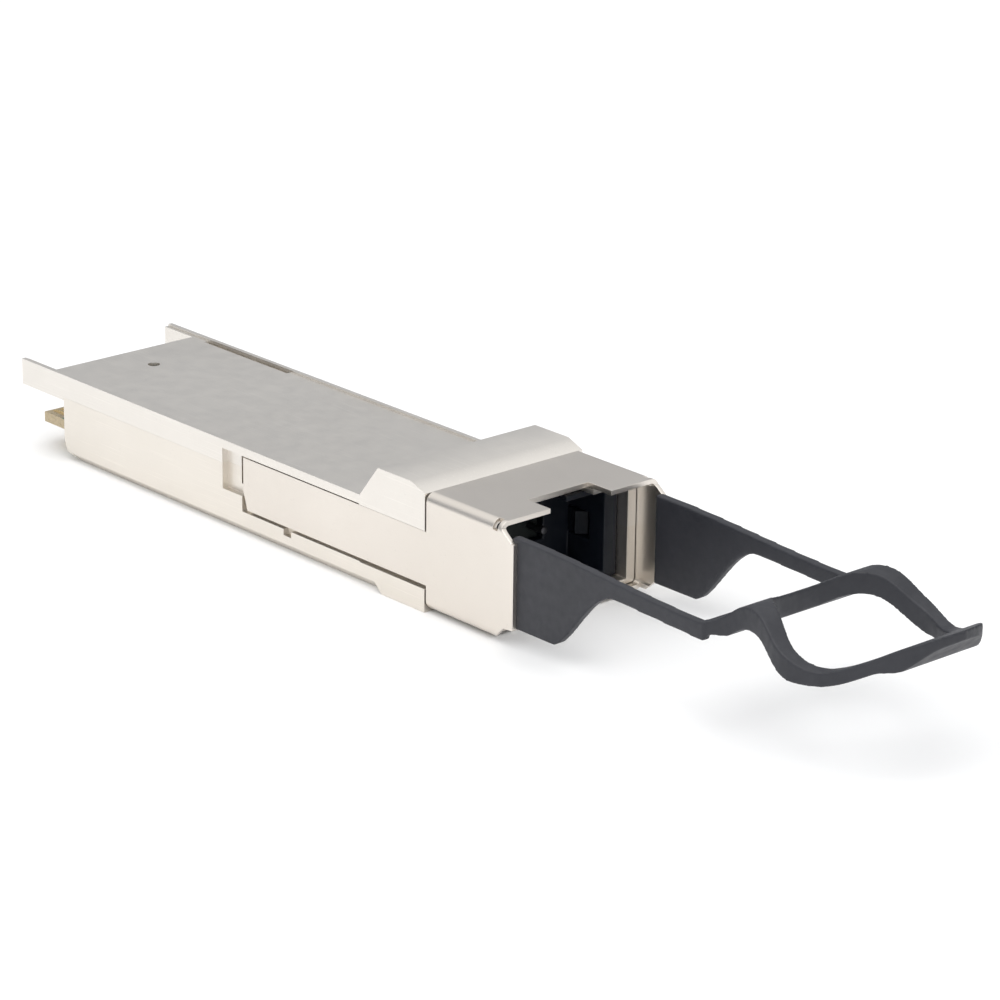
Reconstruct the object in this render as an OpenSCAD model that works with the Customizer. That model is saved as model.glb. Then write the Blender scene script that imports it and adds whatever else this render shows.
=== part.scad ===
// Pluggable fibre transceiver module with a push-on fibre port and a pull-tab release.
// Length runs along Y: the port and the pull tab face -Y, the card edge faces +Y.
// X is the width, Z is up, and the origin is at the middle of the body's bottom face.

/* [Housing] */
// Length from the front of the nose to the tips of the rear ears
body_l = 72.4; // [72:0.1:73]
// Width of the part that enters the cage
body_w = 18.35; // [18.2:0.05:18.5]
// Height of the part that enters the cage
body_h = 8.5; // [8.4:0.05:8.6]
// Thickness of the housing's side walls
wall = 0.875; // [0.8:0.025:0.9]
// Thickness of the tray's floor and of the top plate
floor_t = 1; // [0.9:0.05:1.1]
// Height of the seam between the top cover and the tray
seam_z = 6.2; // [6:0.1:6.4]
// How far the ears stand out behind the top plate
ear_l = 4.5; // [3.5:0.1:5]
// Height of the ears
ear_h = 2.6; // [2.4:0.1:2.8]
// How far the top plate lies below its side rails
plate_recess = 0.2; // [0.1:0.05:0.3]
// Chamfer along the tray's bottom edges
edge_chamfer = 0.8; // [0.4:0.1:0.9]
// Radius of the tray's bottom rear corner
rear_corner_r = 2.4; // [1:0.1:2.5]

/* [Collar] */
// Distance from the body's middle to the collar's rear top edge
collar_back = 18.2; // [18:0.1:18.5]
// Length of the collar's flat top
collar_top_l = 4.5; // [4.2:0.1:4.8]
// Height of the collar's top above the bottom face
collar_h = 11.8; // [11.7:0.05:12]
// Width over the collar
collar_w = 18.7; // [18.6:0.05:18.9]

/* [Release slider] */
// Thickness of the slider's sheet
sheet_t = 0.45; // [0.4:0.05:0.45]
// Width over the slider's sleeve
sleeve_w = 18.6; // [18.5:0.05:18.65]
// Height of the sleeve's top above the bottom face
sleeve_top = 11.2; // [11.1:0.05:11.3]
// Height of the sleeve's underside above the bottom face
sleeve_bottom = 0.3; // [0.2:0.05:0.35]
// Height of the side arms' lower edge
arm_low = 2.45; // [2.4:0.05:2.6]
// Height of the side arms' upper edge
arm_high = 7.5; // [7.3:0.05:7.5]
// How far the slider travels when the tab is pulled
travel = 1.8; // [1.5:0.1:2]

/* [Pull tab] */
// Overall length from the rear ears to the tip of the tab
overall_l = 115.8; // [115.4:0.1:116.2]
// Thickness of the tab's side plates
tab_plate_t = 0.85; // [0.75:0.05:0.85]
// Thickness of the finger loop
loop_t = 2; // [1.8:0.1:2.2]
// Half width of the finger loop at its widest
loop_half_w = 8.9; // [8.7:0.1:9]
// Half width of the finger hole at its widest
hole_half_w = 7.4; // [7.2:0.1:7.5]

/* [Port] */
// Width of the port opening
port_w = 12.4; // [12.2:0.1:12.6]
// Height of the port opening
port_h = 7.7; // [7.5:0.1:7.8]
// Height of the optical axis above the bottom face
port_z = 5.75; // [5.7:0.05:5.8]
// Spacing of the two guide pins
pin_pitch = 4.6; // [4.5:0.1:4.7]
// Diameter of a guide pin
pin_d = 0.7; // [0.68:0.01:0.7]

/* [Card edge] */
// Width of the card edge
card_w = 16.42; // [16.3:0.02:16.5]
// Thickness of the board
card_t = 1; // [0.9:0.05:1]
// Height of the board's top face
card_top = 3.4; // [3.3:0.05:3.5]
// Number of contacts on each face of the card
pads = 19; // [17:1:19]
// Spacing of the contacts
pad_pitch = 0.8; // [0.78:0.01:0.8]

/* [Hidden] */
$fn = 48;
rear_y = body_l / 2;
nose_y = -body_l / 2;
half_w = body_w / 2;
plate_rear_y = rear_y - ear_l;
tray_rear_y = plate_rear_y - 2.3;
inner_half_w = half_w - wall;
plate_under_z = body_h - floor_t;

// Bay for the electronics: wide at the card, narrow between the spring recesses.
bay_step_y = 5;
bay_front_y = -15.2;
bay_rear_y = tray_rear_y - 1;
narrow_half_w = 6.7;
// Small round hole through the top plate.
plate_hole_y = 27;
plate_hole_r = 0.6;
// Inner side of the ledges that carry the card.
ledge_x = 7;

// Side pockets in which the slider's arms run.
pocket_floor_x = 8.55;
pocket_rear_y = 4.4;
pocket_low = 2.2;
pocket_high = arm_high + 0.15;
pocket_step_y = 1.5;
pocket_step_z = 3.7;
arm_x0 = 8.65;
arm_end_y = 1.4;
// Deep slot just behind each arm's end, and a notch in the pocket's lower edge.
end_slot_x = 7.4;
end_slot_y = [pocket_step_y, pocket_step_y + 0.8];
end_slot_z = [4.6, 7.45];
low_notch_y = [-5.7, -4.6];
low_notch_z = [1.6, pocket_low + 0.1];
// Length over which an arm is joined to the sleeve.
arm_lap = 1;

// Collar and the nose behind it.
collar_front_y = -24.6;
collar_ramp_y = -15.6;
collar_half_w = collar_w / 2;
nose_core_front_y = nose_y + 3.9;
key_notch_half_w = 3.6;
key_notch_y = nose_y + 4.6;

// Sleeve.
sleeve_rear_y = collar_front_y - 0.15;
sleeve_inner_x = sleeve_w / 2 - sheet_t;
sleeve_r = 0.9;
sleeve_gap = 0.07;
sleeve_top_front_y = nose_y + 1.6;
sleeve_low_front_y = nose_y + 3.2;
pocket_front_y = sleeve_rear_y - arm_lap - travel - 0.3;

// Receptacle and the pocket it sits in.
insert_half_w = 7.75;
insert_half_h = 4.4;
insert_front_y = nose_y + 5.2;
insert_rear_y = -25;
port_floor_y = insert_rear_y - 1.2;
insert_gap = 0.05;
gasket_rear_y = -24;
tube_half_w = 4.6;
tube_half_h = 2.6;
tube_rear_y = -18.8;

// Ferrule.
ferrule_half_w = 3.2;
ferrule_half_h = 1.25;
ferrule_front_y = -25.4;
ferrule_rear_y = -17;
keeper_rear_y = -16;
ribbon_half_w = 1.55;
ribbon_t = 0.3;

// Springs that push the slider back.
spring_x = 7.8;
spring_z = 4.8;
spring_r = 0.55;
spring_wire_r = 0.12;
spring_turns = 9;
spring_front_y = -16;
spring_rear_y = -6;
recess_x0 = 7.1;
recess_half_h = 0.8;
spring_tab_t = 0.45;

// Screws.
screw_x = 5.6;
screw_ys = [23, -7.6];
screw_r = 0.75;
screw_hole_r = 0.8;
boss_r = 1.7;
head_r = 1.4;
head_h = 0.8;
head_gap = 0.15;

// Card.
card_rear_y = rear_y - 2.2;
card_front_y = -9.6;
card_low = card_top - card_t;
card_front_half_w = narrow_half_w - 0.1;
card_slot_gap = 0.05;

// Pull tab.
tab_rear_y = nose_y + 0.6;
tip_y = rear_y - overall_l;
tab_x0 = sleeve_inner_x - tab_plate_t;
plate_low = 1.75;
plate_curve_y = [-40.9, -48.3];
strip_end_y = -59;
strip_under = [8.05, 7.6];
strip_top = [10.1, 9.15];
loop_rear_y = -58.7;

// ---- helpers ----

// Box between two corners.
module slab(x, y, z) {
    translate([x[0], y[0], z[0]])
        cube([x[1] - x[0], y[1] - y[0], z[1] - z[0]]);
}

// Box centred across the width.
module mid_slab(half, y, z) {
    slab([-half, half], y, z);
}

// Side-view outline in Y and Z, extruded across X.
module side_plate(outline, x) {
    translate([x[0], 0, 0])
        rotate([90, 0, 90])
            linear_extrude(x[1] - x[0])
                polygon(outline);
}

// End-view outline in X and Z, extruded along Y.
module end_bar(outline, y) {
    translate([0, y[1], 0])
        rotate([90, 0, 0])
            linear_extrude(y[1] - y[0])
                polygon(outline);
}

// Child and its mirror image across the width.
module both_sides() {
    children();
    mirror([1, 0, 0])
        children();
}

// Child at each of the four screw places.
module at_screws() {
    for (y = screw_ys, x = [-screw_x, screw_x])
        translate([x, y, 0])
            children();
}

// Ease from 0 to 1.
function ease(t) = let (u = min(max(t, 0), 1)) u * u * (3 - 2 * u);

// Point on a smooth curve through four neighbouring points.
function spline_at(a, b, c, d, t) =
    0.5 * (2 * b + (c - a) * t + (2 * a - 5 * b + 4 * c - d) * t * t + (3 * b - a - 3 * c + d) * t * t * t);

// Smooth curve through every point of a list.
function smooth(points, steps) =
    let (last = len(points) - 1)
    [
        for (i = [0 : last - 1], k = [0 : steps - 1])
            spline_at(points[max(i - 1, 0)], points[i], points[i + 1], points[min(i + 2, last)], k / steps),
        points[last]
    ];

function reversed(list) = [for (i = [len(list) - 1 : -1 : 0]) list[i]];
function mirrored(list) = [for (p = list) [-p[0], p[1]]];

// Arc of a circle from one angle to another.
function arc(centre, r, from, to, steps = 8) = [
    for (i = [0 : steps])
        let (a = from + (to - from) * i / steps)
        centre + r * [cos(a), sin(a)]
];

// ---- outlines ----

pocket_outline = [
    [pocket_rear_y, pocket_high],
    [pocket_rear_y, pocket_step_z],
    [pocket_step_y, pocket_step_z],
    [pocket_step_y, pocket_low],
    [pocket_front_y, pocket_low],
    [pocket_front_y, pocket_high]
];

collar_outline = [
    [collar_ramp_y, plate_under_z],
    [collar_ramp_y, body_h],
    [-collar_back, collar_h],
    [-collar_back - collar_top_l, collar_h],
    [collar_front_y, sleeve_top - 0.1],
    [collar_front_y, seam_z],
    [collar_ramp_y, seam_z]
];

// Pockets, spring recesses and bays shared by both halves of the housing.
module housing_hollows() {
    both_sides() {
        side_plate(pocket_outline, [pocket_floor_x, half_w + 1]);
        slab([end_slot_x, half_w + 1], end_slot_y, end_slot_z);
        slab([pocket_floor_x, half_w + 1], low_notch_y, low_notch_z);
        slab([recess_x0, half_w], [spring_front_y, spring_rear_y + 1],
             [spring_z - recess_half_h, spring_z + recess_half_h]);
    }
    mid_slab(inner_half_w, [bay_step_y, bay_rear_y], [floor_t, plate_under_z]);
    mid_slab(narrow_half_w, [bay_front_y, bay_step_y + 1], [floor_t, plate_under_z]);
    mid_slab(ribbon_half_w + 0.3, [keeper_rear_y - 1, bay_front_y + 1], [port_z - 0.6, port_z + 0.6]);
    mid_slab(3.8, [-19, keeper_rear_y], [port_z - 1.7, port_z + 1.7]);
    mid_slab(tube_half_w + insert_gap, [gasket_rear_y - 1, tube_rear_y],
             [port_z - tube_half_h - insert_gap, port_z + tube_half_h + insert_gap]);
    mid_slab(insert_half_w + insert_gap, [nose_y, gasket_rear_y],
             [port_z - insert_half_h - insert_gap, port_z + insert_half_h + insert_gap]);
}

// Part of the nose inside the sleeve, between two heights.
module nose_core(z) {
    intersection() {
        sleeve_tube(-(sheet_t + sleeve_gap), [nose_core_front_y, collar_front_y + 1]);
        mid_slab(sleeve_w / 2, [nose_core_front_y, collar_front_y + 1], z);
    }
}

// ---- housing ----

module top_cover() {
    color([0.78, 0.77, 0.74])
        difference() {
            union() {
                mid_slab(half_w, [-collar_back, plate_rear_y], [seam_z, body_h]);
                both_sides()
                    slab([inner_half_w, half_w], [plate_rear_y - 2.3, rear_y], [body_h - ear_h, body_h]);
                side_plate(collar_outline, [-collar_half_w, collar_half_w]);
                nose_core([seam_z, sleeve_top]);
            }
            difference() {
                housing_hollows();
                at_screws()
                    translate([0, 0, card_top])
                        cylinder(r = boss_r, h = body_h);
                mid_slab(3.8, [-1.2, 2.4], [5, body_h]);
                mid_slab(card_w / 2, [bay_rear_y - 0.01, tray_rear_y], [card_top, body_h]);
            }
            // Space behind the top cover's rear wall, between the ears.
            mid_slab(inner_half_w, [tray_rear_y, rear_y + 1], [0, plate_under_z]);
            mid_slab(half_w + 1, [tray_rear_y, plate_rear_y], [0, body_h - ear_h]);
            mid_slab(half_w - 0.45, [collar_ramp_y, rear_y + 1], [body_h - plate_recess, body_h + 1]);
            // Groove beside the right-hand rail, and the small hole through the plate.
            slab([inner_half_w - 0.1, inner_half_w + 0.4], [16.5, 29.6], [body_h - 0.9, body_h + 1]);
            translate([0, plate_hole_y, plate_under_z - 1])
                cylinder(r = plate_hole_r, h = floor_t + 2);
            mid_slab(key_notch_half_w, [nose_core_front_y - 1, key_notch_y + 1], [port_z, sleeve_top]);
            at_screws()
                translate([0, 0, seam_z - 3])
                    cylinder(r = screw_hole_r, h = 3.9);
        }
}

tray_section = [
    [-half_w, edge_chamfer],
    [-half_w + edge_chamfer, 0],
    [half_w - edge_chamfer, 0],
    [half_w, edge_chamfer],
    [half_w, seam_z],
    [-half_w, seam_z]
];

tray_outline = concat(
    [[collar_front_y, 0]],
    arc([tray_rear_y - rear_corner_r, rear_corner_r], rear_corner_r, -90, 0),
    [[tray_rear_y, seam_z], [collar_front_y, seam_z]]
);

collar_foot_outline = [
    [collar_ramp_y, seam_z],
    [collar_ramp_y, pocket_low],
    [-17.4, 1.3],
    [-18.7, 0],
    [collar_front_y, 0],
    [collar_front_y, seam_z]
];

module bottom_tray() {
    color([0.88, 0.86, 0.82])
        difference() {
            union() {
                intersection() {
                    end_bar(tray_section, [collar_front_y, tray_rear_y]);
                    side_plate(tray_outline, [-half_w, half_w]);
                }
                side_plate(collar_foot_outline, [-collar_half_w, collar_half_w]);
                nose_core([0, seam_z]);
            }
            difference() {
                housing_hollows();
                at_screws()
                    cylinder(r = boss_r, h = card_low);
                // Ledges that carry the card.
                both_sides()
                    slab([ledge_x, half_w], [bay_step_y, tray_rear_y], [0, card_low]);
            }
            mid_slab(card_w / 2 + card_slot_gap, [bay_rear_y - 1, tray_rear_y + 1],
                     [card_low, seam_z + 1]);
            at_screws() {
                translate([0, 0, -1])
                    cylinder(r = screw_hole_r, h = 5);
                translate([0, 0, -1])
                    cylinder(r = head_r + 0.1, h = head_h + head_gap + 1);
            }
        }
}

// Pan-headed screws that come up through the tray into the cover.
module cover_screws() {
    color([0.55, 0.55, 0.57])
        at_screws()
            difference() {
                union() {
                    translate([0, 0, head_gap])
                        cylinder(r = head_r, h = head_h);
                    translate([0, 0, head_gap])
                        cylinder(r = screw_r, h = 6.6);
                }
                translate([0, 0, -0.1])
                    cylinder(r = 0.45, h = head_gap + 0.6, $fn = 6);
            }
}

module emi_gasket() {
    color([0.3, 0.3, 0.32])
        difference() {
            mid_slab(insert_half_w - 0.1, [insert_rear_y, gasket_rear_y],
                     [port_z - insert_half_h + 0.1, port_z + insert_half_h - 0.1]);
            mid_slab(tube_half_w + 0.05, [insert_rear_y - 1, gasket_rear_y + 1],
                     [port_z - tube_half_h - 0.05, port_z + tube_half_h + 0.05]);
        }
}

// ---- electronics ----

module main_board() {
    color([0.1, 0.35, 0.2])
        difference() {
            union() {
                mid_slab(card_w / 2, [bay_step_y + 1, card_rear_y], [card_low, card_top]);
                mid_slab(card_front_half_w, [card_front_y, bay_step_y + 2], [card_low, card_top]);
            }
            at_screws()
                translate([0, 0, card_low - 1])
                    cylinder(r = screw_r + 0.2, h = card_t + 2);
        }
}

pad_t = 0.035;
pad_l = 3.4;

module card_contacts() {
    color([0.85, 0.68, 0.3])
        for (i = [0 : pads - 1], z = [card_low - pad_t, card_top])
            translate([(i - (pads - 1) / 2) * pad_pitch - 0.27, card_rear_y - pad_l - 0.4, z])
                cube([0.54, pad_l, pad_t]);
}

chip_front_y = -1;
chip_l = 3.2;
chip_z = card_top;

// Flat chip package with a pin-one mark pressed into its top.
module chip(x, y, height) {
    difference() {
        slab(x, y, [chip_z, chip_z + height]);
        translate([x[0] + 0.5, y[1] - 0.5, chip_z + height - 0.08])
            cylinder(r = 0.18, h = 1);
    }
}

module laser_driver_chip() {
    color([0.12, 0.12, 0.13])
        chip([-3.6, -0.3], [chip_front_y, chip_front_y + chip_l], 0.8);
}

module receiver_chip() {
    color([0.12, 0.12, 0.13])
        chip([0.3, 3.6], [chip_front_y, chip_front_y + chip_l], 0.8);
}

module microcontroller() {
    color([0.1, 0.1, 0.11])
        chip([-2.5, 2.5], [12, 17], 0.9);
}

module power_regulator() {
    color([0.14, 0.14, 0.15])
        chip([4, 6.6], [13, 15.6], 0.9);
}

module chip_capacitors() {
    color([0.62, 0.5, 0.38]) {
        for (i = [0 : 4], x = [-5.6, 5.6])
            translate([x - 0.25, 0.4 + i * 1.6, card_top])
                cube([0.5, 1, 0.5]);
        for (i = [0 : 5])
            translate([-3.2 + i * 1.2, 19.4, card_top])
                cube([0.5, 1, 0.5]);
    }
}

array_y = -5.2;

module laser_array() {
    color([0.72, 0.62, 0.35])
        slab([-1.7, -0.2], [array_y, array_y + 0.5], [card_top, card_top + 0.2]);
}

module photodiode_array() {
    color([0.35, 0.35, 0.5])
        slab([0.2, 1.7], [array_y, array_y + 0.5], [card_top, card_top + 0.2]);
}

lens_front_y = -8.6;
lens_top = 5.95;
ribbon_start_z = 5.2;

// Moulded block that turns the light from the board into the ribbon.
module lens_block() {
    color([0.85, 0.8, 0.62])
        difference() {
            side_plate([
                [lens_front_y, card_top],
                [-2.6, card_top],
                [-2.6, 4.8],
                [-3.8, lens_top],
                [lens_front_y, lens_top]
            ], [-2.7, 2.7]);
            mid_slab(2, [-6.6, -3.4], [card_top - 1, card_top + 0.8]);
            mid_slab(ribbon_half_w + 0.02, [lens_front_y - 1, -6.4],
                     [ribbon_start_z - ribbon_t / 2 - 0.02, ribbon_start_z + ribbon_t / 2 + 0.02]);
        }
}

module thermal_pads() {
    color([0.55, 0.6, 0.68])
        for (x = [[-3.5, -0.4], [0.4, 3.5]])
            slab(x, [chip_front_y + 0.1, chip_front_y + chip_l - 0.1], [chip_z + 0.8, 5]);
}

// ---- optics ----

// Flat ribbon of fibres that rises from the lens block to the optical axis.
ribbon_run = [
    for (i = [0 : 12])
        let (t = i / 12, y = -6.6 - t * 11)
        [y, ribbon_start_z + (port_z - ribbon_start_z) * ease((t - 0.2) / 0.6)]
];

module fibre_ribbon() {
    color([0.3, 0.75, 0.75])
        side_plate(concat(
            [for (p = ribbon_run) p + [0, ribbon_t / 2]],
            [for (p = reversed(ribbon_run)) p - [0, ribbon_t / 2]]
        ), [-ribbon_half_w, ribbon_half_w]);
}

// Round bores for the guide pins, on the optical axis.
module pin_bores(y, r) {
    for (x = [-pin_pitch / 2, pin_pitch / 2])
        translate([x, y[1], port_z])
            rotate([90, 0, 0])
                cylinder(r = r, h = y[1] - y[0]);
}

module mt_ferrule() {
    color([0.2, 0.22, 0.2])
        difference() {
            union() {
                mid_slab(ferrule_half_w, [ferrule_front_y, ferrule_rear_y],
                         [port_z - ferrule_half_h, port_z + ferrule_half_h]);
                mid_slab(ferrule_half_w + 0.4, [ferrule_rear_y - 1.6, ferrule_rear_y],
                         [port_z - ferrule_half_h - 0.3, port_z + ferrule_half_h + 0.3]);
            }
            pin_bores([ferrule_front_y - 1, ferrule_rear_y + 1], pin_d / 2 + 0.02);
            mid_slab(ribbon_half_w + 0.02, [ferrule_rear_y - 0.8, ferrule_rear_y + 1],
                     [port_z - ribbon_t / 2 - 0.02, port_z + ribbon_t / 2 + 0.02]);
        }
}

module guide_pins() {
    color([0.8, 0.8, 0.82])
        pin_bores([ferrule_front_y - 2, keeper_rear_y - 0.05], pin_d / 2);
}

module pin_keeper() {
    color([0.7, 0.7, 0.72])
        difference() {
            mid_slab(ferrule_half_w + 0.3, [ferrule_rear_y, keeper_rear_y],
                     [port_z - ferrule_half_h - 0.1, port_z + ferrule_half_h + 0.1]);
            pin_bores([ferrule_rear_y - 1, keeper_rear_y + 1], pin_d / 2 + 0.02);
            mid_slab(ribbon_half_w + 0.1, [ferrule_rear_y - 1, keeper_rear_y + 1],
                     [port_z - ribbon_t, port_z + ribbon_t]);
        }
}

key_half_w = 1.6;
latch_slot_half_h = 1.3;
latch_t = 0.5;

module port_receptacle() {
    color([0.06, 0.06, 0.07])
        difference() {
            union() {
                mid_slab(insert_half_w, [insert_front_y, insert_rear_y],
                         [port_z - insert_half_h, port_z + insert_half_h]);
                mid_slab(tube_half_w, [insert_rear_y - 1, tube_rear_y],
                         [port_z - tube_half_h, port_z + tube_half_h]);
            }
            mid_slab(port_w / 2, [insert_front_y - 1, port_floor_y],
                     [port_z - port_h / 2, port_z + port_h / 2]);
            mid_slab(key_half_w, [insert_front_y - 1, insert_front_y + 3.6],
                     [port_z, port_z + insert_half_h + 1]);
            mid_slab(ferrule_half_w + 0.05, [insert_rear_y - 2, tube_rear_y + 1],
                     [port_z - ferrule_half_h - 0.05, port_z + ferrule_half_h + 0.05]);
            both_sides()
                slab([port_w / 2 - 1, port_w / 2 + latch_t + 0.3], [insert_front_y + 2, port_floor_y],
                     [port_z - latch_slot_half_h, port_z + latch_slot_half_h]);
        }
}

// Pair of sprung hooks beside the ferrule that hold a plugged connector.
module port_latches() {
    color([0.07, 0.07, 0.08])
        both_sides()
            side_hook();
}

module side_hook() {
    hook_front = insert_front_y + 2.6;
    outer = port_w / 2 + latch_t;
    translate([0, 0, port_z - 1.1])
        linear_extrude(2.2)
            polygon([
                [outer, port_floor_y],
                [outer, hook_front],
                [outer - latch_t - 0.35, hook_front + 0.9],
                [outer - latch_t, hook_front + 1.4],
                [outer - latch_t, port_floor_y]
            ]);
}

// ---- release ----

// What is cut off the upper and lower corners of the cheeks that reach forward to the tab.
cheek_high = 9.6;
cheek_crown = [
    [nose_y - 1, cheek_high],
    [nose_y + 0.3, cheek_high],
    [sleeve_top_front_y, cheek_high + 1],
    [sleeve_top_front_y, sleeve_top + 1],
    [nose_y - 1, sleeve_top + 1]
];
cheek_corner = [
    [nose_y - 1, -1],
    [nose_y + 3, -1],
    [nose_y + 2.6, sleeve_bottom],
    [nose_y + 1.2, sleeve_bottom + 1.3],
    [nose_y - 1, sleeve_bottom + 1.5]
];
bend_relief_y = [nose_y + 2.1, nose_y + 2.7];

// End-view outline of the sleeve, rounded at its four corners.
module sleeve_section(grow) {
    half = sleeve_w / 2 + grow;
    low = sleeve_bottom - grow;
    high = sleeve_top + grow;
    r = sleeve_r + grow;
    polygon(concat(
        arc([half - r, high - r], r, 0, 90),
        arc([-half + r, high - r], r, 90, 180),
        arc([-half + r, low + r], r, 180, 270),
        arc([half - r, low + r], r, 270, 360)
    ));
}

module sleeve_tube(grow, y) {
    translate([0, y[1], 0])
        rotate([90, 0, 0])
            linear_extrude(y[1] - y[0])
                sleeve_section(grow);
}

arm_outline = [
    [arm_end_y, arm_high],
    [arm_end_y, pocket_step_z + 0.5],
    [arm_end_y - 0.6, arm_low],
    [sleeve_rear_y - arm_lap, arm_low],
    [sleeve_rear_y - arm_lap, arm_high]
];

module release_slider() {
    color([0.9, 0.88, 0.84]) {
        difference() {
            sleeve_tube(0, [nose_y, sleeve_rear_y]);
            sleeve_tube(-sheet_t, [nose_y - 1, sleeve_rear_y + 1]);
            side_plate(cheek_crown, [-sleeve_w, sleeve_w]);
            mid_slab(sleeve_inner_x, [nose_y - 1, sleeve_low_front_y], [-1, sleeve_r]);
            side_plate(cheek_corner, [-sleeve_w, sleeve_w]);
            mid_slab(key_notch_half_w, [nose_y - 1, key_notch_y], [port_z, sleeve_top + 1]);
            // Relief cut through the bend, just behind the front edge.
            both_sides()
                slab([sleeve_w / 2 - sleeve_r, sleeve_w / 2 + 1], bend_relief_y,
                     [sleeve_top - sleeve_r, sleeve_top + 1]);
        }
        both_sides() {
            side_plate(arm_outline, [arm_x0, arm_x0 + sheet_t]);
            slab([recess_x0 + 0.15, arm_x0 + 0.1], [spring_rear_y, spring_rear_y + spring_tab_t],
                 [spring_z - recess_half_h + 0.1, spring_z + recess_half_h - 0.1]);
        }
    }
}

// Underside of a side plate: deep at the nose, sweeping up to the thin strip.
function plate_under(y) =
    let (
        u = max(0, (y - plate_curve_y[0]) / (plate_curve_y[1] - plate_curve_y[0])),
        s = ease(pow(u, 0.8)),
        k = max(0, (plate_curve_y[1] - y) / (plate_curve_y[1] - strip_end_y)),
        high = strip_under[0] + (strip_under[1] - strip_under[0]) * k
    )
    plate_low + (high - plate_low) * s;

function plate_top(y) =
    strip_top[0] + (strip_top[1] - strip_top[0]) * ease((y - nose_y) / (strip_end_y - nose_y));

plate_steps = 24;
plate_step = (strip_end_y - plate_curve_y[0]) / plate_steps;
plate_ys = [for (i = [0 : plate_steps]) plate_curve_y[0] + i * plate_step];
plate_outline = concat(
    [[tab_rear_y, plate_low]],
    [for (y = plate_ys) [y, plate_under(y)]],
    [for (y = reversed(plate_ys)) [y, plate_top(y)]],
    [[nose_y, strip_top[0]], [tab_rear_y, strip_top[0]]]
);

// Height of the loop's top face: up behind the hole, down beside it, and up at the tip.
loop_crest = smooth([
    [-57.6, 9.15], [-59.7, 9.6], [-62.2, 11.3], [-64.7, 11.4], [-67.6, 9.5],
    [-70.4, 8.5], [-72.4, 8.8], [-74.6, 9.9], [-77, 11.35], [tip_y - 0.2, 12.75]
], 5);

loop_edge = smooth([
    [sleeve_inner_x, loop_rear_y], [8, -60.1], [7.7, -61.9], [8.15, -64.5], [loop_half_w, -67.8],
    [8.2, -71], [6.5, -74.1], [4.8, -76.7], [2.8, -78.8], [0, tip_y]
], 4);

hole_edge = smooth([
    [0, -61], [3, -61.4], [4.8, -62.8], [6.3, -65.3], [hole_half_w, -68.6],
    [6.3, -71.7], [4.3, -74], [2, -75.3], [0, -75.6]
], 4);

// The loop is thick at the hump behind the hole and at the lip in front of it, and thin in between.
function loop_thickness(y) =
    loop_t * (1 - 0.35 * ease((y + 60.9) / 1.6)
              - 0.35 * ease((-68 - y) / 3) * ease((y + 77) / 2)
              - 0.55 * ease((-76.8 - y) / 2.6));

loop_under = [for (p = reversed(loop_crest)) p - [0, loop_thickness(p[0])]];

module finger_loop() {
    intersection() {
        side_plate(concat(loop_crest, loop_under), [-10, 10]);
        linear_extrude(20)
            difference() {
                polygon(concat(loop_edge, mirrored(reversed(loop_edge))));
                polygon(concat(hole_edge, mirrored(reversed(hole_edge))));
            }
    }
}

module pull_tab() {
    color([0.29, 0.29, 0.32]) {
        both_sides()
            side_plate(plate_outline, [tab_x0, sleeve_inner_x]);
        finger_loop();
    }
}

coil_steps = 14;
coil_sides = 6;

// Closed tube swept along a coil around the Y axis.
module coil(length, turns) {
    rings = turns * coil_steps;
    points = [
        for (i = [0 : rings], k = [0 : coil_sides - 1])
            let (
                a = 360 * i / coil_steps,
                b = 360 * k / coil_sides,
                r = spring_r + spring_wire_r * cos(b),
                along = spring_wire_r + (length - 2 * spring_wire_r) * i / rings
            )
            [r * cos(a), along + spring_wire_r * sin(b), r * sin(a)]
    ];
    faces = concat(
        [[for (k = [coil_sides - 1 : -1 : 0]) k]],
        [[for (k = [0 : coil_sides - 1]) rings * coil_sides + k]],
        [
            for (i = [0 : rings - 1], k = [0 : coil_sides - 1], half = [0, 1])
                let (n = (k + 1) % coil_sides, p = i * coil_sides, q = p + coil_sides)
                half == 0 ? [p + n, q + n, q + k] : [p + n, q + k, p + k]
        ]
    );
    polyhedron(points, faces);
}

module return_springs() {
    color([0.75, 0.75, 0.77])
        for (x = [-spring_x, spring_x])
            translate([x, spring_front_y + 0.02, spring_z])
                coil(spring_rear_y - spring_front_y - 0.04, spring_turns);
}

top_cover();
bottom_tray();
cover_screws();
emi_gasket();
main_board();
card_contacts();
laser_driver_chip();
receiver_chip();
microcontroller();
power_regulator();
chip_capacitors();
laser_array();
photodiode_array();
lens_block();
fibre_ribbon();
mt_ferrule();
guide_pins();
pin_keeper();
port_receptacle();
port_latches();
thermal_pads();
release_slider();
pull_tab();
return_springs();
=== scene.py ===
"""Looks of the optical transceiver module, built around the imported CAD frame."""

import math

import bmesh
import bpy
from mathutils import Matrix, Vector


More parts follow.
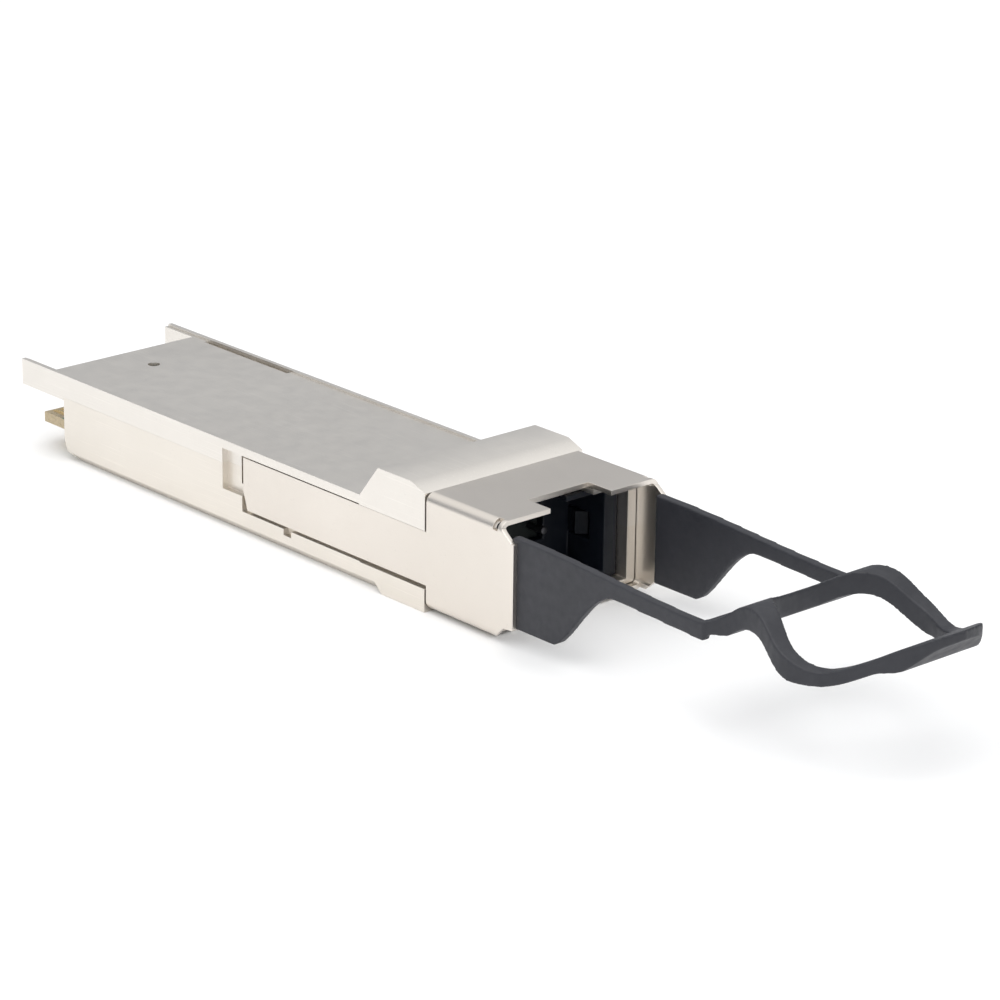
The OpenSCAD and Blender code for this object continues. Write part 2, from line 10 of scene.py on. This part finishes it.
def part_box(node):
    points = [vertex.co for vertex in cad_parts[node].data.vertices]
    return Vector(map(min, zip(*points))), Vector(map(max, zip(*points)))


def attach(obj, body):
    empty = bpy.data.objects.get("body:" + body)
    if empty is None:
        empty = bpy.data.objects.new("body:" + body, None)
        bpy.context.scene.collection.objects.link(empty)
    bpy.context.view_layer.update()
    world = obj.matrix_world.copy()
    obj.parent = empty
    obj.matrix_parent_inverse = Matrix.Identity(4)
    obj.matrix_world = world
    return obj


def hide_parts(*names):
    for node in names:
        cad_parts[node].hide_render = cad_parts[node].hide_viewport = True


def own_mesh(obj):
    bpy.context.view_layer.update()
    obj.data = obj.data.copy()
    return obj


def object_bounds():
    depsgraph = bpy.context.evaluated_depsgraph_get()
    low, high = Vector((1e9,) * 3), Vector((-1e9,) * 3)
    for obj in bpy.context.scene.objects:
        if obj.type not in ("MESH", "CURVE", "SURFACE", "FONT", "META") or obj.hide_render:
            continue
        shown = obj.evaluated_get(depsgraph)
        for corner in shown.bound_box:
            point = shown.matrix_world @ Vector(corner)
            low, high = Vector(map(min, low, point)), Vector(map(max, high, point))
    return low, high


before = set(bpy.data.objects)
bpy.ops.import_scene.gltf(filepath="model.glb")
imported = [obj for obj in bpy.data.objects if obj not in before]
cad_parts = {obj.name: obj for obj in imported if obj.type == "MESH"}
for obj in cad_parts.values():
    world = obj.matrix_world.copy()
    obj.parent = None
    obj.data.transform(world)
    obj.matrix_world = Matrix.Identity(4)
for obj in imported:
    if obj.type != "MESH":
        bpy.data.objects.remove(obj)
CAD_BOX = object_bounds()
MM = 0.001

# Camera: the viewpoint of the photograph, in the frame's own directions.
CAMERA_AZIMUTH = -41.77
CAMERA_ELEVATION = 19.67
CAMERA_ROLL = -0.7
CAMERA_DISTANCE = 411.27 * MM
CAMERA_TARGET = Vector((28.07, 7.44, -6.82)) * MM
CAMERA_LENS = 148.25
CAMERA_SENSOR = 36.0

HOUSING = "housing"
RELEASE = "release"


# ---------------------------------------------------------------- materials


class Surface:
    """A procedural material under construction, in the object's own coordinates."""

    def __init__(self, name):
        self.material = bpy.data.materials.new(name)
        self.material.use_nodes = True
        self.nodes = self.material.node_tree.nodes
        self.links = self.material.node_tree.links
        self.shader = self.nodes["Principled BSDF"]
        self.place = self.nodes.new("ShaderNodeTexCoord").outputs["Object"]

    def set(self, **values):
        for name, value in values.items():
            self.shader.inputs[name.replace("_", " ").title().replace("Ior", "IOR")].default_value = value

    def link(self, output, socket):
        self.links.new(output, self.shader.inputs[socket])

    def stretched(self, x, y, z):
        """The coordinates with each axis scaled, for a grain that runs one way."""
        mapping = self.nodes.new("ShaderNodeMapping")
        mapping.inputs["Scale"].default_value = (x, y, z)
        self.links.new(self.place, mapping.inputs["Vector"])
        return mapping.outputs["Vector"]

    def noise(self, size, detail=3.0, roughness=0.5, place=None):
        """Noise whose blobs are about size metres across."""
        node = self.nodes.new("ShaderNodeTexNoise")
        node.inputs["Scale"].default_value = 1 / size
        node.inputs["Detail"].default_value = detail
        node.inputs["Roughness"].default_value = roughness
        self.links.new(place or self.place, node.inputs["Vector"])
        return node.outputs["Fac"]

    def cells(self, size, place=None):
        node = self.nodes.new("ShaderNodeTexVoronoi")
        node.inputs["Scale"].default_value = 1 / size
        self.links.new(place or self.place, node.inputs["Vector"])
        return node.outputs["Distance"]

    def spread(self, value, low, high, start=0.3, end=0.7):
        """Maps a 0 to 1 pattern to the range low to high."""
        node = self.nodes.new("ShaderNodeMapRange")
        node.inputs["From Min"].default_value = start
        node.inputs["From Max"].default_value = end
        node.inputs["To Min"].default_value = low
        node.inputs["To Max"].default_value = high
        self.links.new(value, node.inputs["Value"])
        return node.outputs["Result"]

    def blend(self, value, first, second, start=0.3, end=0.7):
        """Colour that runs from first to second as the pattern rises."""
        node = self.nodes.new("ShaderNodeValToRGB")
        node.color_ramp.elements[0].position = start
        node.color_ramp.elements[1].position = end
        node.color_ramp.elements[0].color = (*first, 1)
        node.color_ramp.elements[1].color = (*second, 1)
        self.links.new(value, node.inputs["Fac"])
        return node.outputs["Color"]

    def over(self, amount, under, colour):
        """Colour laid over another one where amount is high."""
        node = self.nodes.new("ShaderNodeMix")
        node.data_type = "RGBA"
        self.links.new(amount, node.inputs["Factor"])
        self.links.new(under, node.inputs[6])
        if isinstance(colour, tuple):
            node.inputs[7].default_value = (*colour, 1)
        else:
            self.links.new(colour, node.inputs[7])
        return node.outputs[2]

    def scuffs(self, width, length, start=0.6, end=0.75):
        """Sparse fine marks along the module's length: 1 on a mark, 0 between them."""
        lines = self.noise(1.0, 2, 0.5, self.stretched(1 / width, 1 / length, 1 / width))
        return self.spread(lines, 0, 1, start, end)

    def sideways(self):
        """1 on faces that look sideways, 0 on faces that look up or down."""
        split = self.nodes.new("ShaderNodeSeparateXYZ")
        self.links.new(self.nodes.new("ShaderNodeNewGeometry").outputs["Normal"], split.inputs[0])
        size = self.nodes.new("ShaderNodeMath")
        size.operation = "ABSOLUTE"
        self.links.new(split.outputs["Z"], size.inputs[0])
        return self.spread(size.outputs[0], 1, 0, 0.45, 0.55)

    def behind(self, y, soft=0.1 * MM):
        """1 behind the given length, 0 in front of it."""
        split = self.nodes.new("ShaderNodeSeparateXYZ")
        self.links.new(self.place, split.inputs[0])
        return self.spread(split.outputs["Y"], 0, 1, y - soft, y + soft)

    def bump(self, height, depth, strength=1.0, after=None):
        node = self.nodes.new("ShaderNodeBump")
        node.inputs["Distance"].default_value = depth
        node.inputs["Strength"].default_value = strength
        self.links.new(height, node.inputs["Height"])
        if after is not None:
            self.links.new(after, node.inputs["Normal"])
        return node.outputs["Normal"]

    def normal(self, output):
        self.link(output, "Normal")


def cast_metal(name, light, dark, rough=(0.34, 0.39)):
    """Nickel-plated die casting: satin, with a fine mould grain and marks from sliding in and out of cages."""
    s = Surface(name)
    s.set(metallic=1.0)
    plating = s.blend(s.noise(16 * MM, 4), dark, light)
    speck = s.spread(s.noise(0.35 * MM, 5, 0.7), 0, 0.5, 0.62, 0.78)
    rubbed = s.over(s.scuffs(0.09 * MM, 9 * MM), plating, tuple(min(1, c * 1.06) for c in light))
    s.link(s.over(speck, rubbed, tuple(c * 0.82 for c in dark)), "Base Color")
    s.link(s.spread(s.noise(1.6 * MM, 6, 0.6), *rough), "Roughness")
    grain = s.bump(s.noise(0.12 * MM, 3), 0.0015 * MM, 0.5)
    s.normal(s.bump(s.scuffs(0.06 * MM, 7 * MM), -0.0015 * MM, 0.5, grain))
    return s.material


def rolled_sheet(name, light, dark):
    """Stamped sheet with the fine grain of the rolling mill along its length."""
    s = Surface(name)
    s.set(metallic=1.0)
    grain = s.noise(1.0, 4, 0.6, s.stretched(1 / (0.1 * MM), 1 / (3 * MM), 1 / (0.1 * MM)))
    plating = s.blend(s.noise(14 * MM, 4), dark, light)
    marks = s.spread(s.noise(0.4 * MM, 5, 0.7), 0, 0.45, 0.62, 0.78)
    s.link(s.over(marks, plating, tuple(c * 0.8 for c in dark)), "Base Color")
    s.link(s.spread(grain, 0.3, 0.38), "Roughness")
    s.normal(s.bump(grain, 0.0012 * MM, 0.5))
    return s.material


def turned_steel(name, colour, rough):
    s = Surface(name)
    s.set(metallic=1.0)
    dark = tuple(c * 0.8 for c in colour)
    s.link(s.blend(s.noise(1.2 * MM, 4), dark, colour), "Base Color")
    s.link(s.spread(s.noise(0.25 * MM, 4), rough - 0.07, rough + 0.07), "Roughness")
    s.normal(s.bump(s.noise(0.1 * MM, 3), 0.003 * MM, 0.6))
    return s.material


def elastomer(name, light, dark):
    """Overmoulded rubber-like plastic with a fine spark-eroded grain."""
    s = Surface(name)
    base = s.blend(s.noise(9 * MM, 4), dark, light)
    rubbed = tuple(c * 1.4 + 0.005 for c in light)
    wear = s.spread(s.noise(1.5 * MM, 5, 0.65), 0, 0.3, 0.52, 0.8)
    s.link(s.over(wear, base, rubbed), "Base Color")
    s.link(s.spread(s.noise(0.8 * MM, 4), 0.46, 0.6), "Roughness")
    s.set(specular_ior_level=0.5)
    grain = s.bump(s.cells(0.11 * MM), 0.006 * MM, 0.6)
    s.normal(s.bump(s.noise(3 * MM, 3), 0.05 * MM, 0.25, grain))
    return s.material


def moulded_plastic(name, colour, rough, grain=0.15 * MM, shine=0.5):
    s = Surface(name)
    light = tuple(c * 1.35 + 0.004 for c in colour)
    s.link(s.blend(s.noise(3 * MM, 4), colour, light), "Base Color")
    s.link(s.spread(s.noise(0.6 * MM, 4), rough - 0.08, rough + 0.08), "Roughness")
    s.set(specular_ior_level=shine)
    s.normal(s.bump(s.noise(grain, 3), 0.004 * MM, 0.7))
    return s.material


def gold_plate(name):
    """Flash of hard gold with faint wiping marks along the card."""
    s = Surface(name)
    s.set(metallic=1.0)
    wipe = s.noise(1.0, 4, 0.6, s.stretched(1 / (0.05 * MM), 1 / (1.5 * MM), 1 / (0.05 * MM)))
    s.link(s.blend(s.noise(2 * MM, 3), (0.83, 0.55, 0.19), (0.95, 0.7, 0.32)), "Base Color")
    s.link(s.spread(wipe, 0.2, 0.36), "Roughness")
    s.normal(s.bump(wipe, 0.002 * MM, 0.7))
    return s.material


CARD_BARE_Y = 31.2 * MM
LAMINATE = (0.52, 0.41, 0.24)


def solder_mask(name):
    """Green mask over copper tracks that show through as paler, raised lines, with bare laminate at the card
    edge and on every cut side."""
    s = Surface(name)
    tracks = s.nodes.new("ShaderNodeTexBrick")
    tracks.inputs["Scale"].default_value = 1 / (2.4 * MM)
    tracks.inputs["Mortar Size"].default_value = 0.05
    s.links.new(s.place, tracks.inputs["Vector"])
    weave = s.noise(0.35 * MM, 2)
    mask = s.blend(s.noise(4 * MM, 3), (0.012, 0.1, 0.045), (0.02, 0.16, 0.075))
    printed = s.over(tracks.outputs["Fac"], mask, (0.05, 0.26, 0.12))
    glass = s.blend(s.noise(0.25 * MM, 4), tuple(c * 0.75 for c in LAMINATE), LAMINATE)
    s.link(s.over(s.sideways(), s.over(s.behind(CARD_BARE_Y), printed, glass), glass), "Base Color")
    s.link(s.spread(weave, 0.24, 0.4), "Roughness")
    s.set(coat_weight=0.4, coat_roughness=0.15)
    s.normal(s.bump(tracks.outputs["Fac"], 0.01 * MM, 0.6, s.bump(weave, 0.003 * MM, 0.5)))
    return s.material


def clear_resin(name, colour):
    s = Surface(name)
    light = tuple(min(1, c * 1.25) for c in colour)
    s.link(s.blend(s.noise(1.5 * MM, 3), colour, light), "Base Color")
    s.set(transmission_weight=0.25, ior=1.52)
    s.link(s.spread(s.noise(0.5 * MM, 3), 0.1, 0.22), "Roughness")
    s.normal(s.bump(s.noise(0.2 * MM, 2), 0.002 * MM, 0.5))
    return s.material


def ribbon_coating(name, colour):
    """Coloured coating with the ridges of the fibres beneath it."""
    s = Surface(name)
    ridge = s.nodes.new("ShaderNodeTexWave")
    ridge.bands_direction = "X"
    ridge.inputs["Scale"].default_value = 1 / (0.25 * MM) / 6.28
    ridge.inputs["Distortion"].default_value = 0.2
    s.links.new(s.place, ridge.inputs["Vector"])
    dark = tuple(c * 0.6 for c in colour)
    s.link(s.blend(ridge.outputs["Fac"], dark, colour, 0.1, 0.6), "Base Color")
    s.link(s.spread(s.noise(0.8 * MM, 3), 0.22, 0.36), "Roughness")
    s.normal(s.bump(ridge.outputs["Fac"], 0.03 * MM, 0.6))
    return s.material


def foam(name, colour):
    s = Surface(name)
    light = tuple(c * 1.8 for c in colour)
    pores = s.cells(0.16 * MM)
    s.link(s.blend(pores, colour, light, 0.1, 0.7), "Base Color")
    s.link(s.spread(pores, 0.7, 0.9), "Roughness")
    s.normal(s.bump(pores, 0.05 * MM, 0.8))
    return s.material


def floor_paint(name):
    s = Surface(name)
    s.link(s.blend(s.noise(60 * MM, 4), (0.93, 0.93, 0.93), (0.96, 0.96, 0.96)), "Base Color")
    s.link(s.spread(s.noise(4 * MM, 3), 0.75, 0.9), "Roughness")
    s.normal(s.bump(s.noise(1.5 * MM, 2), 0.02 * MM, 0.2))
    return s.material


# ---------------------------------------------------------------- mesh work


def linked(name, mesh):
    piece = bpy.data.objects.new(name, mesh)
    bpy.context.scene.collection.objects.link(piece)
    return piece


def cleaned_copy(node, name, flat=0.3):
    """A new mesh with the CAD node's shape: welded, and with its flat faces whole again."""
    shape = bmesh.new()
    shape.from_mesh(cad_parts[node].data)
    bmesh.ops.remove_doubles(shape, verts=shape.verts, dist=0.002 * MM)
    bmesh.ops.dissolve_limit(
        shape, angle_limit=math.radians(flat), verts=shape.verts, edges=shape.edges, delimit=set()
    )
    mesh = bpy.data.meshes.new(name)
    shape.to_mesh(mesh)
    shape.free()
    return linked(name, mesh)


def baked(piece):
    """Applies the piece's modifiers, so that its mesh is final."""
    graph = bpy.context.evaluated_depsgraph_get()
    final = bpy.data.meshes.new_from_object(piece.evaluated_get(graph))
    piece.modifiers.clear()
    piece.data = final
    return piece


def round_edges(piece, radius_at, widest, sharp=25, segments=3):
    """Rounds every sharp edge. radius_at gives the radius at the middle of an edge, in metres."""
    shape = bmesh.new()
    shape.from_mesh(piece.data)
    weights = shape.edges.layers.float.new("bevel_weight_edge")
    for edge in shape.edges:
        if len(edge.link_faces) == 2 and edge.calc_face_angle(0) > math.radians(sharp):
            middle = (edge.verts[0].co + edge.verts[1].co) / 2
            edge[weights] = min(1, radius_at(middle) / widest)
    shape.to_mesh(piece.data)
    shape.free()
    bevel = piece.modifiers.new("rounding", "BEVEL")
    bevel.limit_method = "WEIGHT"
    bevel.width = widest
    bevel.segments = segments
    bevel.use_clamp_overlap = True
    bevel.harden_normals = False
    return shade(baked(piece))


def shade(piece, angle=35):
    """Smooth shading that keeps real corners crisp."""
    for face in piece.data.polygons:
        face.use_smooth = True
    piece.data.set_sharp_from_angle(angle=math.radians(angle))
    normals = piece.modifiers.new("weighted", "WEIGHTED_NORMAL")
    normals.keep_sharp = True
    return baked(piece)


def melted(piece, cell, passes):
    """Remeshes the piece finely and relaxes it, for the soft edges of a moulded rubber part."""
    remesh = piece.modifiers.new("cells", "REMESH")
    remesh.mode = "VOXEL"
    remesh.voxel_size = cell
    remesh.use_smooth_shade = True
    relax = piece.modifiers.new("relax", "SMOOTH")
    relax.factor = 0.5
    relax.iterations = passes
    return baked(piece)


def place(piece, node, body, slot, material):
    """Makes the piece stand for its CAD node, with its own material."""
    piece.data.materials.clear()
    piece.data.materials.append(material)
    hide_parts(node)
    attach(piece, body)
    return piece


# ---------------------------------------------------------------- housing

COLLAR_RADIUS = 0.4 * MM
CASTING_RADIUS = 0.14 * MM


def casting_radius(point):
    """Generous radii on the collar, small ones elsewhere."""
    on_collar = -24.7 * MM < point.y < -15 * MM and point.z > 8.6 * MM
    return COLLAR_RADIUS if on_collar else CASTING_RADIUS


def make_top_cover():
    piece = cleaned_copy("top_cover", "top_cover_casting")
    round_edges(piece, casting_radius, COLLAR_RADIUS)
    metal = cast_metal("nickel_cover", (0.82, 0.785, 0.735), (0.78, 0.745, 0.695))
    return place(piece, "top_cover", HOUSING, "brushed_nickel_cover", metal)


def make_bottom_tray():
    piece = cleaned_copy("bottom_tray", "bottom_tray_casting")
    round_edges(piece, lambda point: CASTING_RADIUS, CASTING_RADIUS)
    metal = cast_metal("nickel_tray", (0.81, 0.765, 0.7), (0.77, 0.725, 0.66))
    return place(piece, "bottom_tray", HOUSING, "nickel_tray", metal)


def make_screws():
    piece = cleaned_copy("cover_screws", "cover_screw_set")
    round_edges(piece, lambda point: 0.08 * MM, 0.08 * MM)
    return place(piece, "cover_screws", HOUSING, "screw_steel", turned_steel("screw_finish", (0.6, 0.6, 0.62), 0.3))


# ---------------------------------------------------------------- release


def make_slider():
    piece = cleaned_copy("release_slider", "release_slider_sheet")
    round_edges(piece, lambda point: 0.1 * MM, 0.1 * MM)
    metal = rolled_sheet("slider_finish", (0.79, 0.74, 0.68), (0.74, 0.69, 0.63))
    return place(piece, "release_slider", RELEASE, "slider_sheet", metal)


def make_pull_tab():
    piece = cleaned_copy("pull_tab", "pull_tab_moulding")
    melted(piece, 0.13 * MM, 6)
    rubber = elastomer("tab_finish", (0.026, 0.027, 0.034), (0.02, 0.021, 0.027))
    return place(piece, "pull_tab", RELEASE, "tab_elastomer", rubber)


COIL_RADIUS = 0.55 * MM
COIL_WIRE = 0.12 * MM
COIL_TURNS = 9
COIL_STEPS = 24


def make_springs():
    """Two coils of round wire with closed, flat ends."""
    low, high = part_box("return_springs")
    middle = (low + high) / 2
    reach = high.x - COIL_RADIUS - COIL_WIRE
    curve = bpy.data.curves.new("return_spring_coils", "CURVE")
    curve.dimensions = "3D"
    curve.bevel_depth = COIL_WIRE
    curve.bevel_resolution = 3
    curve.use_fill_caps = True
    for side in (-reach, reach):
        count = COIL_TURNS * COIL_STEPS
        path = curve.splines.new("POLY")
        path.points.add(count)
        for i, point in enumerate(path.points):
            angle = 2 * math.pi * i / COIL_STEPS
            along = min(max((i - COIL_STEPS) / (count - 2 * COIL_STEPS), 0), 1)
            along = 0.94 * along + 0.06 * i / count
            y = low.y + COIL_WIRE + (high.y - low.y - 2 * COIL_WIRE) * along
            point.co = (side + COIL_RADIUS * math.cos(angle), y, middle.z + COIL_RADIUS * math.sin(angle), 1)
    coils = linked("return_spring_coils", curve)
    graph = bpy.context.evaluated_depsgraph_get()
    mesh = bpy.data.meshes.new_from_object(coils.evaluated_get(graph))
    bpy.data.objects.remove(coils)
    piece = linked("return_spring_pair", mesh)
    for face in mesh.polygons:
        face.use_smooth = True
    place(piece, "return_springs", HOUSING, "spring_steel", turned_steel("spring_finish", (0.7, 0.7, 0.72), 0.25))
    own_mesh(piece)
    return piece


# ---------------------------------------------------------------- port, optics and board


def make_simple(node, name, slot, material, radius=0.06 * MM):
    """A CAD piece with its edges softened."""
    piece = cleaned_copy(node, name)
    round_edges(piece, lambda point: radius, radius, segments=2)
    return place(piece, node, HOUSING, slot, material)


def make_port():
    black = moulded_plastic("receptacle_finish", (0.004, 0.006, 0.011), 0.45, shine=0.35)
    make_simple("port_receptacle", "port_receptacle_moulding", "receptacle_plastic", black, 0.12 * MM)
    hooks = moulded_plastic("latch_finish", (0.004, 0.006, 0.01), 0.5, shine=0.2)
    make_simple("port_latches", "port_latch_pair", "latch_plastic", hooks)
    make_simple("emi_gasket", "emi_gasket_foam", "gasket_foam", foam("gasket_finish", (0.06, 0.06, 0.065)))


def make_optics():
    resin = moulded_plastic("ferrule_finish", (0.012, 0.015, 0.014), 0.4, 0.06 * MM, 0.25)
    make_simple("mt_ferrule", "mt_ferrule_body", "ferrule_resin", resin)
    # Guide pins: their steel colour is painted very dark, as painted shade for the inside of the port, so that they
    # catch no glint there.
    make_simple("guide_pins", "guide_pin_pair", "pin_steel", turned_steel("pin_steel_painted_shade", (0.12, 0.12, 0.13), 0.45))
    make_simple("pin_keeper", "pin_keeper_plate", "keeper_steel", turned_steel("keeper_finish", (0.62, 0.62, 0.64), 0.3), 0.03 * MM)
    ribbon = ribbon_coating("ribbon_finish", (0.05, 0.42, 0.46))
    make_simple("fibre_ribbon", "fibre_ribbon_strip", "ribbon_coating", ribbon, 0.03 * MM)
    make_simple("lens_block", "lens_block_moulding", "lens_resin", clear_resin("lens_finish", (0.62, 0.36, 0.1)))
    make_simple("laser_array", "laser_array_die", "laser_die", gold_plate("laser_finish"), 0.01 * MM)
    make_simple("photodiode_array", "photodiode_array_die", "photodiode_die",
                moulded_plastic("photodiode_finish", (0.05, 0.05, 0.12), 0.2), 0.01 * MM)


def make_board():
    make_simple("main_board", "main_board_panel", "board_laminate", solder_mask("board_finish"), 0.03 * MM)
    make_simple("card_contacts", "card_contact_set", "contact_gold", gold_plate("contact_finish"), 0.008 * MM)
    package = moulded_plastic("package_finish", (0.02, 0.02, 0.022), 0.5)
    for node, slot in (
        ("laser_driver_chip", "driver_package"),
        ("receiver_chip", "receiver_package"),
        ("microcontroller", "controller_package"),
        ("power_regulator", "regulator_package"),
    ):
        make_simple(node, node + "_package", slot, package)
    ceramic = moulded_plastic("ceramic_finish", (0.3, 0.2, 0.12), 0.4)
    make_simple("chip_capacitors", "chip_capacitor_set", "capacitor_ceramic", ceramic, 0.04 * MM)
    silicone = moulded_plastic("silicone_finish", (0.28, 0.34, 0.42), 0.6)
    make_simple("thermal_pads", "thermal_pad_pair", "thermal_silicone", silicone, 0.1 * MM)


# ---------------------------------------------------------------- studio


def make_floor():
    reach = 1.5
    shape = bmesh.new()
    bmesh.ops.create_grid(shape, x_segments=2, y_segments=2, size=reach)
    mesh = bpy.data.meshes.new("floor")
    shape.to_mesh(mesh)
    shape.free()
    floor = linked("floor", mesh)
    floor.location.z = CAD_BOX[0].z - 0.02 * MM
    mesh.materials.append(floor_paint("floor_finish"))


COOL_SKY = (0.96, 1.0, 1.07)
# Brightness of the surroundings against height: 0 is the horizon and 1 is straight up.
SKY = ((0.36, 0.36), (0.62, 1.02), (1.0, 1.02))


def make_world():
    """Studio surroundings: mid grey low down, bright overhead."""
    world = bpy.data.worlds.new("studio")
    world.use_nodes = True
    bpy.context.scene.world = world
    nodes, links = world.node_tree.nodes, world.node_tree.links
    up = nodes.new("ShaderNodeSeparateXYZ")
    ramp = nodes.new("ShaderNodeValToRGB")
    links.new(nodes.new("ShaderNodeTexCoord").outputs["Generated"], up.inputs[0])
    links.new(up.outputs["Z"], ramp.inputs["Fac"])
    links.new(ramp.outputs["Color"], nodes["Background"].inputs["Color"])
    steps = ramp.color_ramp.elements
    steps.new(0.5)
    for step, (height, level) in zip(steps, SKY):
        step.position = height
        cool = COOL_SKY if level < 0.5 else (1, 1, 1)
        step.color = (*(level * c for c in cool), 1)
    nodes["Background"].inputs["Strength"].default_value = 1.0


def make_lamp(name, azimuth, elevation, distance, size, watts, colour=(1, 1, 1)):
    """Square soft light aimed at the object's middle."""
    lamp = bpy.data.lights.new(name, "AREA")
    lamp.shape = "SQUARE"
    lamp.size = size
    lamp.energy = watts
    lamp.color = colour
    holder = linked(name, lamp)
    a, e = math.radians(azimuth), math.radians(elevation)
    away = Vector((math.sin(a) * math.cos(e), -math.cos(a) * math.cos(e), math.sin(e)))
    middle = Vector((0, -22, 5)) * MM
    holder.location = middle + away * distance
    holder.rotation_euler = away.to_track_quat("Z", "Y").to_euler()


def make_camera():
    a, e, roll = (math.radians(v) for v in (CAMERA_AZIMUTH, CAMERA_ELEVATION, CAMERA_ROLL))
    back = Vector((math.sin(a) * math.cos(e), -math.cos(a) * math.cos(e), math.sin(e)))
    right = Vector((math.cos(a), math.sin(a), 0))
    up = back.cross(right)
    rolled_right = right * math.cos(roll) - up * math.sin(roll)
    rolled_up = right * math.sin(roll) + up * math.cos(roll)
    data = bpy.data.cameras.new("camera")
    data.sensor_width = CAMERA_SENSOR
    data.lens = CAMERA_LENS
    data.clip_start = 0.01
    data.clip_end = 10
    camera = linked("camera", data)
    turn = Matrix((rolled_right, rolled_up, back)).transposed().to_4x4()
    camera.matrix_world = Matrix.Translation(CAMERA_TARGET + back * CAMERA_DISTANCE) @ turn
    bpy.context.scene.camera = camera


def make_studio():
    make_floor()
    make_world()
    make_lamp("overhead", -30, 75, 0.9, 0.8, 3.1)
    make_lamp("left", -95, 35, 0.8, 0.6, 1.2)
    make_lamp("front", -20, 25, 0.9, 0.5, 0.6)
    make_camera()
    bpy.context.scene.view_settings.view_transform = "Standard"


make_top_cover()
make_bottom_tray()
make_screws()
make_slider()
make_pull_tab()
make_springs()
make_port()
make_optics()
make_board()
make_studio()
